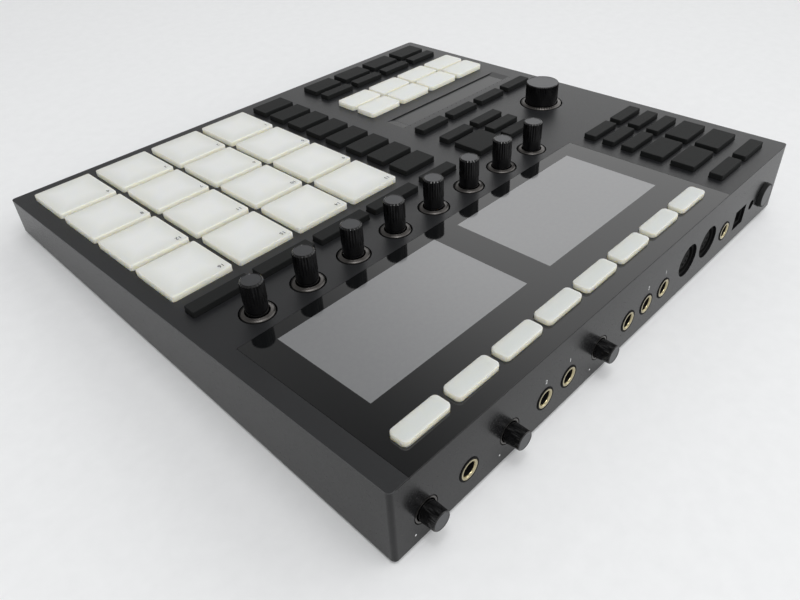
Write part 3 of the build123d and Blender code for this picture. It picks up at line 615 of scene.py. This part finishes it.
def make_piece(name: str, bm: BMesh, materials: Sequence[Material], body: str,
               stands_for: Sequence[str] = (), smooth: bool = True) -> None:
    """Turns a finished bmesh, in row metres, into a piece that rides on a body.

    Args:
        name: Name of the piece.
        bm: Its mesh, which is freed.
        materials: Its materials, in the order of the faces' indices.
        body: The CAD body that it moves with.
        stands_for: CAD nodes that it replaces.
        smooth: Whether its slight corners are shaded round.
    """
    mesh = bpy.data.meshes.new(name)
    bm.to_mesh(mesh)
    bm.free()
    for material in materials:
        mesh.materials.append(material)
    if smooth:
        mesh.polygons.foreach_set("use_smooth", [True] * len(mesh.polygons))
        mesh.set_sharp_from_angle(angle=SMOOTH_BELOW)
    piece = add_object(name, mesh)
    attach(piece, body)
    if stands_for:
        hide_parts(*stands_for)
    LOG.info("made %s, %d faces, on %s", name, len(mesh.polygons), body)


def local_normal(face: bmesh.types.BMFace) -> Vector:
    """Gives a face's normal in the panel's frame."""
    return (PANEL.matrix().to_3x3().inverted() @ face.normal).normalized()


def local_middle(face: bmesh.types.BMFace) -> Vector:
    """Gives a face's middle in panel millimetres."""
    return PANEL.matrix().inverted() @ face.calc_center_median()


def copy_node(name: str) -> BMesh:
    """Copies a CAD node's mesh, with its corners joined.

    Args:
        name: Name of the node.

    Returns:
        The mesh in row metres.
    """
    bm = bmesh.new()
    bm.from_mesh(frame["nodes"][name].data)
    bmesh.ops.remove_doubles(bm, verts=bm.verts, dist=JOIN_M)
    bm.normal_update()
    return bm


def split(bm: BMesh, point: Triple, normal: Triple) -> None:
    """Cuts edges into a mesh along a plane and keeps both sides.

    Args:
        bm: The mesh in row metres.
        point: A place on the plane, in panel millimetres.
        normal: Direction across the plane, in the panel's frame.
    """
    place = PANEL.matrix()
    across = (place.to_3x3() @ Vector(normal)).normalized()
    geometry = [*bm.verts, *bm.edges, *bm.faces]
    bmesh.ops.bisect_plane(bm, geom=geometry, plane_co=place @ Vector(point), plane_no=across, dist=CUT_M)


def turn_of(vert: bmesh.types.BMVert) -> float:
    """Gives a vertex's angle about the upright axis, from zero to a full turn."""
    return math.atan2(vert.co.y, vert.co.x) % math.tau


def ring_edges(bm: BMesh, ring: Ring) -> list[bmesh.types.BMEdge]:
    """Gives the edges of a closed ring of vertices."""
    return [bm.edges.get((ring[i - 1], ring[i])) for i in range(len(ring))]


def raise_ring(bm: BMesh, ring: Ring, radius: float, level: float, groove: float = 0.0) -> Ring:
    """Extrudes a closed ring to a new radius and level, with every other vertex sunk by groove.

    Args:
        bm: The mesh.
        ring: The ring's vertices in order.
        radius: The new radius.
        level: The new level.
        groove: How far every other vertex lies inside that radius.

    Returns:
        The new ring's vertices in the same order.
    """
    grown = bmesh.ops.extrude_edge_only(bm, edges=ring_edges(bm, ring))["geom"]
    found = [item for item in grown if isinstance(item, bmesh.types.BMVert)]
    found.sort(key=turn_of)
    old = [math.hypot(vert.co.x, vert.co.y) for vert in found]
    for index, vert in enumerate(found):
        share = (radius - groove * (index % 2)) / old[index]
        bmesh.ops.scale(bm, verts=[vert], vec=(share, share, 1.0))
    bmesh.ops.translate(bm, verts=found, vec=(0.0, 0.0, level - found[0].co.z))
    return found


def start_ring(bm: BMesh, segments: int, radius: float, level: float) -> Ring:
    """Starts a closed turned piece with a capped circle.

    Args:
        bm: The mesh.
        segments: Number of vertices round the circle.
        radius: Its radius.
        level: Its level.

    Returns:
        The circle's vertices in order of angle.
    """
    ring = bmesh.ops.create_circle(bm, cap_ends=True, segments=segments, radius=radius)["verts"]
    bmesh.ops.translate(bm, verts=ring, vec=(0.0, 0.0, level))
    return sorted(ring, key=turn_of)


def close_ring(bm: BMesh, ring: Ring, material: int) -> None:
    """Fills a ring with a face and turns all normals outwards.

    Args:
        bm: The mesh.
        ring: The ring's vertices in order.
        material: Index of the new face's material.
    """
    bmesh.ops.edgeloop_fill(bm, edges=ring_edges(bm, ring), mat_nr=material)
    bmesh.ops.recalc_face_normals(bm, faces=bm.faces)


def joint_matrix(name: str, facing: Facing) -> Matrix:
    """Gives the local frame, in millimetres, of a turning piece from its joint.

    Args:
        name: Name of the hinge.
        facing: Whether it stands on the panel or on the rear wall.

    Returns:
        The matrix from local millimetres to row metres.
    """
    joint = next(j for j in frame["joints"] if j["name"] == name)
    spin = PANEL.at(0.0, 0.0, 0.0, facing).to_3x3().to_4x4()
    return Matrix.Translation(Vector(joint["pos_m"])) @ spin


@dataclass
class RibbedKnob:
    """A ribbed cap with a smooth stem and a grey end disc, in millimetres along its shaft.

    Attributes:
        radius: Radius over the ribs at the grip's foot.
        end_radius: Radius over the ribs at the grip's end.
        stem: Radius of the smooth part.
        low: Level of the cap's lower end, inside its collar.
        grip_low: Level where the ribs start.
        top: Level of the end face.
        ribs: Number of ribs.
        groove: Depth of the grooves between them.
        chamfer: Size of the serrated rim.
        disc: Radius of the end disc.
        sink: How far the disc lies below the rim.
    """

    radius: float = 5.3
    end_radius: float = 5.3
    stem: float = 5.16
    low: float = -1.0
    grip_low: float = 6.7
    top: float = 17.0
    ribs: int = 26
    groove: float = 0.32
    chamfer: float = 0.7
    disc: float = 4.2
    sink: float = 0.12

    def mesh(self) -> BMesh:
        """Builds the cap about its own axis.

        Returns:
            The mesh in millimetres, with the disc in the second material.
        """
        bm = bmesh.new()
        ring = start_ring(bm, 2 * self.ribs, self.stem, self.low)
        ring = raise_ring(bm, ring, self.stem, self.grip_low - self.groove)
        ring = raise_ring(bm, ring, self.radius, self.grip_low, self.groove)
        ring = raise_ring(bm, ring, self.end_radius, self.top - self.chamfer, self.groove)
        ring = raise_ring(bm, ring, self.end_radius - self.chamfer, self.top, self.groove / 2)
        ring = raise_ring(bm, ring, self.disc + self.sink, self.top)
        ring = raise_ring(bm, ring, self.disc, self.top - self.sink)
        close_ring(bm, ring, material=1)
        return bm

    def build(self, node: str, facing: Facing, palette: Palette) -> None:
        """Puts the cap on its joint in place of the CAD node.

        Args:
            node: The CAD node, after which the joint is named too.
            facing: Where the knob stands.
            palette: The finishes.
        """
        stem = node.removesuffix("_knob") if node == "main_encoder_knob" else node
        bm = self.mesh()
        bmesh.ops.transform(bm, matrix=joint_matrix(f"{stem}_turn", facing), verts=bm.verts)
        body = "encoder_knob_body" if node == "main_encoder_knob" else f"{node}_body"
        make_piece(f"{node}_cap", bm, [palette["knob"], palette["cap"]], body, [node])


@dataclass
class DressedNodes:
    """CAD nodes that keep their shape and only take finishes.

    Attributes:
        finishes: Short names of finishes, each with the nodes that take it.
    """

    finishes: Finishes = ()

    def build(self, palette: Palette) -> None:
        """Puts each finish on its nodes."""
        for key, nodes in self.finishes:
            dress(palette[key], nodes)


@dataclass
class CaseShell(DressedNodes):
    """The tray, the top panel and what fastens and carries them."""

    finishes: Finishes = (
        ("case", ("bottom_case",)), ("panel", ("top_panel",)), ("foot", ("feet",)),
        ("screw", ("case_screws", "board_screws")), ("can", ("panel_standoffs",)))


@dataclass
class KeyBanks(DressedNodes):
    """The rubber keys: black, white and, by the displays, a shade greyer."""

    finishes: Finishes = (
        ("key", ("mode_buttons", "master_buttons", "perform_buttons", "transport_buttons", "scene_buttons",
                 "pad_mode_buttons")),
        ("milk", ("group_buttons",)), ("keycap", ("display_buttons",)))


@dataclass
class InnerWorks(DressedNodes):
    """Boards and mats that the case hides."""

    finishes: Finishes = (
        ("board", ("main_board", "io_board")), ("milk", ("key_mats", "pad_sensor")))


@dataclass
class TouchStrip:
    """The sunk strip and the row of small lights behind it.

    Attributes:
        count: Number of lights.
        left: Place of the first light across the panel.
        right: Place of the last one.
        line: Their place along the panel.
        radius: Radius of a lens.
        end_share: Radius of a lens at its upper end, as a share of that.
        proud: How far a lens stands out.
    """

    count: int = 25
    left: float = -147.0
    right: float = -41.8
    line: float = -38.5
    radius: float = 0.42
    end_share: float = 0.8
    proud: float = 0.03

    def lights(self) -> BMesh:
        """Builds the row of lenses.

        Returns:
            The mesh in row metres.
        """
        bm = bmesh.new()
        step = (self.right - self.left) / (self.count - 1)
        for index in range(self.count):
            lens = bmesh.ops.create_cone(
                bm, cap_ends=True, segments=DOT_SEGMENTS, radius1=self.radius,
                radius2=self.end_share * self.radius, depth=2 * self.proud)["verts"]
            bmesh.ops.translate(bm, verts=lens, vec=(self.left + index * step, self.line, 0.0))
        bmesh.ops.transform(bm, matrix=PANEL.matrix(), verts=bm.verts)
        return bm

    def build(self, palette: Palette) -> None:
        """Dresses the strip and makes its lights.

        Args:
            palette: The finishes.
        """
        dress(palette["strip"], ["touch_strip"])
        make_piece("strip_lights", self.lights(), [palette["lens"]], "case")


@dataclass
class DisplayDeck:
    """The glossy sheet with its two picture areas.

    Attributes:
        width: Width of a picture area.
        depth: Its depth.
        centres: Places of the two areas across the panel.
        middle: Their place along the panel.
    """

    width: float = 95.2
    depth: float = 54.2
    centres: tuple[float, ...] = (-24.1, 88.3)
    middle: float = 86.0

    def build(self, palette: Palette) -> None:
        """Copies the CAD sheet, marks the picture areas on it and replaces the CAD sheet.

        Args:
            palette: The finishes.
        """
        bm = copy_node("display_glass")
        for side in (-0.5, 0.5):
            split(bm, (0.0, self.middle + side * self.depth, 0.0), (0.0, 1.0, 0.0))
            for centre in self.centres:
                split(bm, (centre + side * self.width, self.middle, 0.0), (1.0, 0.0, 0.0))
        materials = [palette["sheet"], palette["screen"], palette["case"]]
        for face in bm.faces:
            spot = local_middle(face)
            inside = any(abs(spot.x - centre) < self.width / 2 for centre in self.centres)
            picture = inside and abs(spot.y - self.middle) < self.depth / 2
            flat = abs(local_normal(face).z) > LOOKS_UP_SHARE
            key = ("screen" if picture else "sheet") if flat else "case"
            face.material_index = materials.index(palette[key])
        make_piece("display_sheet", bm, materials, "case", ["display_glass"], smooth=False)
        dress(palette["screen"], ["display_modules"])


@dataclass
class Print:
    """A number printed on a surface.

    Attributes:
        text: The number.
        height: Size of the type in millimetres.
        rise_share: Height of a digit, as a share of the type's size.
        width_share: Width of a digit, as a share of the type's size.
        curve_steps: Straight steps in each curve of a digit.
    """

    text: str
    height: float
    rise_share: float = 0.7
    width_share: float = 0.6
    curve_steps: int = 3

    def mesh(self, place: Matrix) -> BMesh:
        """Makes the type as a closed thin mesh.

        Args:
            place: The matrix from the print's own millimetres to row metres.

        Returns:
            The mesh in row metres.
        """
        curve = bpy.data.curves.new("type", "FONT")
        curve.body = self.text
        curve.size = self.height
        curve.extrude = INK_MM
        curve.resolution_u = self.curve_steps
        holder = add_object("type", curve)
        graph = bpy.context.evaluated_depsgraph_get()
        flat = bpy.data.meshes.new_from_object(holder.evaluated_get(graph))
        bm = bmesh.new()
        bm.from_mesh(flat)
        bmesh.ops.remove_doubles(bm, verts=bm.verts, dist=JOIN_TYPE_MM)
        bmesh.ops.transform(bm, matrix=place, verts=bm.verts)
        bpy.data.objects.remove(holder)
        bpy.data.curves.remove(curve)
        bpy.data.meshes.remove(flat)
        return bm


@dataclass
class PadField:
    """The square pads, each with its number.

    Attributes:
        inset: Distance of a number from the pad's left and rear edges.
        type_height: Size of the numbers.
    """

    inset: float = 2.2
    type_height: float = 3.3

    def build(self, palette: Palette) -> None:
        """Dresses the pads and prints their numbers.

        Args:
            palette: The finishes.
        """
        names = [f"pad_{i + 1:02d}" for i in range(PADS.count ** 2)]
        dress(palette["pad"], names)
        for index, name in enumerate(names):
            left, rear = PADS.corner(index)
            number = Print(str(index + 1), self.type_height)
            foot = rear - self.inset - self.type_height * number.rise_share
            place = PANEL.at(left + self.inset, foot, PADS.top + INK_MM)
            make_piece(f"{name}_number", number.mesh(place), [palette["ink"]], f"{name}_body")


@dataclass
class KnobRow:
    """The knobs in front of the displays and the large dial.

    Attributes:
        count: Number of knobs.
        knob: Their cap.
        dial: The dial's cap.
    """

    count: int = 8
    knob: RibbedKnob = field(default_factory=RibbedKnob)
    dial: RibbedKnob = field(default_factory=lambda: RibbedKnob(
        radius=10.2, end_radius=10.2, stem=10.06, low=-0.8, grip_low=2.8, top=13.7, ribs=60, groove=0.3,
        chamfer=0.5, disc=9.4, sink=0.15))

    def rings(self) -> BMesh:
        """Copies the collars and blackens all but the faces that look up, as painted shade of the gap round
        each collar.

        Returns:
            The mesh in row metres.
        """
        bm = copy_node("knob_collars")
        for face in bm.faces:
            looks_up = local_normal(face).z >= LOOKS_UP_SHARE
            # Painted shade: side faces and faces below the panel take the sockets' black
            face.material_index = int(local_middle(face).z < 0.0 or not looks_up)
        return bm

    def build(self, palette: Palette) -> None:
        """Makes the caps and the collars.

        Args:
            palette: The finishes.
        """
        for index in range(self.count):
            self.knob.build(f"knob_{index + 1}", Facing.TOP, palette)
        self.dial.build("main_encoder_knob", Facing.TOP, palette)
        make_piece("collar_rings", self.rings(), [palette["collar"], palette["socket"]], "case",
                   ["knob_collars"])
        dress(palette["can"], ["main_encoder_plunger", "encoder_bodies"])


@dataclass
class RearWall:
    """Sockets, knobs and the power button on the rear wall.

    Attributes:
        face: Place of the wall's outer face along the panel.
        power: Place of the power button across the wall and its level.
        power_radius: Its radius.
        power_proud: How far it stands out.
        power_edge: Rounding of its rim.
        power_bend_share: How far the rounding's middle lies inside the sharp rim, as a share of it.
        power_segments: Corners round the button.
        rim_depth: How far behind the wall's face its lower end lies.
        numbers: Printed numbers, with place across the wall and level.
        type_height: Size of the numbers.
        knob: Cap of the knobs.
        knob_nodes: Their nodes.
        sockets: Nodes of black plastic.
        mark_side: Distance of a printed end mark from a knob's middle, to each side.
        mark_level: Level of the end marks.
        mark_radius: Radius of an end mark.
        throat: How far behind the wall's face the jack rings turn dark.
        seam_size: Length, thickness and height of the painted shadow line in the joint below the top's edge.
        seam_level: Its level.
    """

    face: float = 146.15
    power: Pair = (-142.0, -24.5)
    power_radius: float = 7.0
    power_proud: float = 2.2
    power_edge: float = 0.45
    power_bend_share: float = 0.3
    power_segments: int = 64
    rim_depth: float = 2.4
    numbers: tuple[tuple[str, float, float], ...] = (
        ("2", 71.4, -16.4), ("1", 54.4, -16.4), ("2", -10.0, -16.4), ("1", -26.4, -16.4))
    type_height: float = 3.0
    knob: RibbedKnob = field(default_factory=lambda: RibbedKnob(
        radius=4.6, end_radius=4.35, stem=4.5, low=-1.5, grip_low=0.9, top=7.5, ribs=36, groove=0.16,
        chamfer=0.35, disc=3.7, sink=0.1))
    knob_nodes: tuple[str, ...] = ("phones_knob", "line_out_knob", "mic_gain_knob")
    sockets: tuple[str, ...] = ("jack_sockets", "midi_sockets", "usb_socket", "power_socket", "power_switch")
    mark_side: float = 5.8
    mark_level: float = -33.8
    mark_radius: float = 0.45
    throat: float = 0.45
    seam_size: Triple = (314.0, 0.02, 0.35)
    seam_level: float = -0.45

    def end_marks(self) -> BMesh:
        """Builds the two printed dots below each knob, at the ends of its turn.

        Returns:
            The mesh in row metres.
        """
        bm = bmesh.new()
        for node in self.knob_nodes:
            x = joint_matrix(f"{node}_turn", Facing.REAR).translation.x / MM
            for side in (-self.mark_side, self.mark_side):
                dot = bmesh.ops.create_cone(
                    bm, cap_ends=True, segments=DOT_SEGMENTS, radius1=self.mark_radius,
                    radius2=self.mark_radius, depth=2 * INK_MM)["verts"]
                place = PANEL.at(x + side, self.face + INK_MM, self.mark_level, Facing.REAR)
                bmesh.ops.transform(bm, matrix=place, verts=dot)
        return bm

    def seam(self) -> BMesh:
        """Builds a dark strip that paints the shadow in the joint below the top's rear edge.

        Returns:
            The mesh in row metres.
        """
        bm = bmesh.new()
        line = bmesh.ops.create_cube(bm, size=1.0)["verts"]
        bmesh.ops.scale(bm, verts=line, vec=self.seam_size)
        bmesh.ops.translate(bm, verts=line, vec=(0.0, self.face, self.seam_level))
        bmesh.ops.transform(bm, matrix=PANEL.matrix(), verts=bm.verts)
        return bm

    def rings(self) -> BMesh:
        """Copies the jacks' rings and gives their throats the sockets' black: partly the black bore of the
        socket, partly painted shade inside the mouth.

        Returns:
            The mesh in row metres.
        """
        bm = copy_node("jack_ferrules")
        edge = self.face - self.throat
        split(bm, (0.0, edge, 0.0), (0.0, 1.0, 0.0))
        for face in bm.faces:
            # Painted shade, with the socket's own black: faces behind the throat's edge turn dark
            face.material_index = int(local_middle(face).y < edge)
        return bm

    def power_cap(self) -> BMesh:
        """Builds the power button with its grey face.

        Returns:
            The mesh in row metres.
        """
        bm = bmesh.new()
        bend = self.power_bend_share * self.power_edge
        ring = start_ring(bm, self.power_segments, self.power_radius, -self.rim_depth)
        ring = raise_ring(bm, ring, self.power_radius, self.power_proud - self.power_edge)
        ring = raise_ring(bm, ring, self.power_radius - bend, self.power_proud - bend)
        ring = raise_ring(bm, ring, self.power_radius - self.power_edge, self.power_proud)
        ring = raise_ring(bm, ring, self.power_radius - 2 * self.power_edge, self.power_proud)
        close_ring(bm, ring, material=1)
        x, level = self.power
        place = PANEL.at(x, self.face, level, Facing.REAR)
        bmesh.ops.transform(bm, matrix=place, verts=bm.verts)
        return bm

    def build(self, palette: Palette) -> None:
        """Makes the knobs, the power button and the numbers, and dresses the sockets.

        Args:
            palette: The finishes.
        """
        for node in self.knob_nodes:
            self.knob.build(node, Facing.REAR, palette)
        make_piece("power_cap", self.power_cap(), [palette["key"], palette["cap"]], "power_button_body",
                   ["power_button"])
        for index, (text, x, level) in enumerate(self.numbers):
            number = Print(text, self.type_height)
            start = x + number.width_share / 2 * self.type_height
            place = PANEL.at(start, self.face + INK_MM, level, Facing.REAR)
            make_piece(f"rear_number_{index + 1}", number.mesh(place), [palette["white"]], "case")
        make_piece("end_marks", self.end_marks(), [palette["white"]], "case")
        # A dark strip painted as the shadow in the joint below the top's rear edge
        make_piece("rear_seam_shadow", self.seam(), [palette["socket"]], "case")
        dress(palette["socket"], self.sockets)
        make_piece("jack_rings", self.rings(), [palette["ferrule"], palette["socket"]], "case",
                   ["jack_ferrules"])
        dress(palette["collar"], ["rear_pots"])


@dataclass(frozen=True)
class Lamp:
    """A soft square lamp that looks at the object.

    Attributes:
        name: Its name.
        place: Its place in metres.
        side: Its width and height in metres.
        power: Its power in watts.
    """

    name: str
    place: Triple
    side: float
    power: float

    def hang(self) -> None:
        """Adds the lamp to the scene."""
        data = bpy.data.lights.new(self.name, "AREA")
        data.shape = "RECTANGLE"
        data.size = data.size_y = self.side
        data.energy = self.power
        lamp = add_object(self.name, data)
        lamp.location = self.place
        lamp.rotation_mode = "QUATERNION"
        lamp.rotation_quaternion = Vector(self.place).to_track_quat("Z", "Y")


@dataclass
class Studio:
    """Floor, soft light and the camera at the photograph's place.

    Spans are parts of a direction's unit vector, where a light of the room starts and where it is full.

    Attributes:
        eye: The camera's place in the panel's frame, in millimetres.
        right: Direction to the picture's right, in the panel's frame.
        down: Direction to the picture's foot, in the panel's frame.
        lens: Focal length in millimetres.
        sensor: Width of the camera's sensor in millimetres.
        near: Nearest distance that the camera sees, in metres.
        floor_colours: The two ends of the floor's colour.
        floor_size: Side of the floor in metres.
        sky: Brightness of the room.
        window: Brightness of the large soft light on the left.
        window_span: Its span across the room.
        fill: What the room's rear half adds to the sky.
        fill_span: Its span along the room.
        ceiling_share: Brightness of the ceiling, as a share of the walls' brightness.
        ceiling_span: Its span up the room.
        lamps: The lamps: a wide one overhead, and two small ones that glint on the knobs.
    """

    eye: Triple = (252.259, 251.991, 187.776)
    right: Triple = (-0.69300037, 0.71945918, -0.04614083)
    down: Triple = (0.468876, 0.40116627, -0.78690592)
    lens: float = 32.061
    sensor: float = 36.0
    near: float = 0.01
    floor_colours: tuple[str, str] = ("#f0f1f2", "#ecedee")
    floor_size: float = 12.0
    sky: float = 0.42
    window: float = 1.3
    window_span: Pair = (-0.4, -0.68)
    fill: float = 0.55
    fill_span: Pair = (0.0, 0.6)
    ceiling_share: float = 0.4
    ceiling_span: Pair = (0.5, 0.85)
    lamps: tuple[Lamp, ...] = (Lamp("key", (0.1, 0.4, 1.9), 1.6, 14.0),
                               Lamp("near spark", (0.63, 0.9, 1.6), 0.22, 2.8),
                               Lamp("far spark", (0.41, 0.35, 1.6), 0.22, 2.8))

    def camera(self) -> None:
        """Places the camera."""
        data = bpy.data.cameras.new("camera")
        data.sensor_width = self.sensor
        data.lens = self.lens
        data.clip_start = self.near
        camera = add_object("camera", data)
        turn = PANEL.matrix().to_3x3().normalized()
        right = (turn @ Vector(self.right)).normalized()
        up = -(turn @ Vector(self.down)).normalized()
        axes = Matrix((right, up, right.cross(up))).transposed().to_4x4()
        camera.matrix_world = Matrix.Translation(PANEL.matrix() @ Vector(self.eye)) @ axes
        bpy.context.scene.camera = camera

    def floor(self) -> None:
        """Lays the pale floor."""
        bm = bmesh.new()
        bmesh.ops.create_grid(bm, x_segments=1, y_segments=1, size=self.floor_size / 2)
        mesh = bpy.data.meshes.new("floor")
        bm.to_mesh(mesh)
        bm.free()
        # Painted board: matte, with wide faint patches
        finish = Finish("painted board, pale grey", *self.floor_colours, 0.7, 0.03, 8.0, 0.0, 400.0)
        mesh.materials.append(finish.build())
        floor = add_object("floor", mesh)

    def world(self) -> None:
        """Sets a room with a wide soft light on the player's left, a paler rear half and a dark ceiling."""
        world = bpy.data.worlds.new("studio")
        bpy.context.scene.world = world
        world.use_nodes = True
        tree = world.node_tree
        coords = add_node(tree, "ShaderNodeTexCoord")
        way = add_node(tree, "ShaderNodeSeparateXYZ", {}, {0: coords.outputs["Generated"]})
        window, fill, ceiling = [
            map_range(tree, way.outputs[axis], span, levels, "SMOOTHSTEP") for axis, span, levels in (
                ("X", self.window_span, (self.sky, self.window)),
                ("Y", self.fill_span, (0.0, self.fill)),
                ("Z", self.ceiling_span, (1.0, self.ceiling_share)))]
        walls = calculate(tree, "ADD", window, fill)
        sky = tree.nodes["Background"]
        sky.inputs["Color"].default_value = linear("#ffffff")
        tree.links.new(calculate(tree, "MULTIPLY", walls, ceiling), sky.inputs["Strength"])

    def build(self) -> None:
        """Sets up the whole studio."""
        bpy.context.scene.view_settings.view_transform = "Standard"
        self.world()
        self.floor()
        for lamp in self.lamps:
            lamp.hang()
        self.camera()


def main() -> None:
    """Builds every sub-assembly in order, then the studio."""
    logging.basicConfig(level=logging.INFO, format="%(message)s")
    palette = Palette()
    parts = (CaseShell(), TouchStrip(), DisplayDeck(), KeyBanks(), PadField(), KnobRow(), RearWall(),
             InnerWorks())
    for part in parts:
        LOG.info("building %s", type(part).__name__)
        part.build(palette)
    Studio().build()


if __name__ == "__main__":
    main()
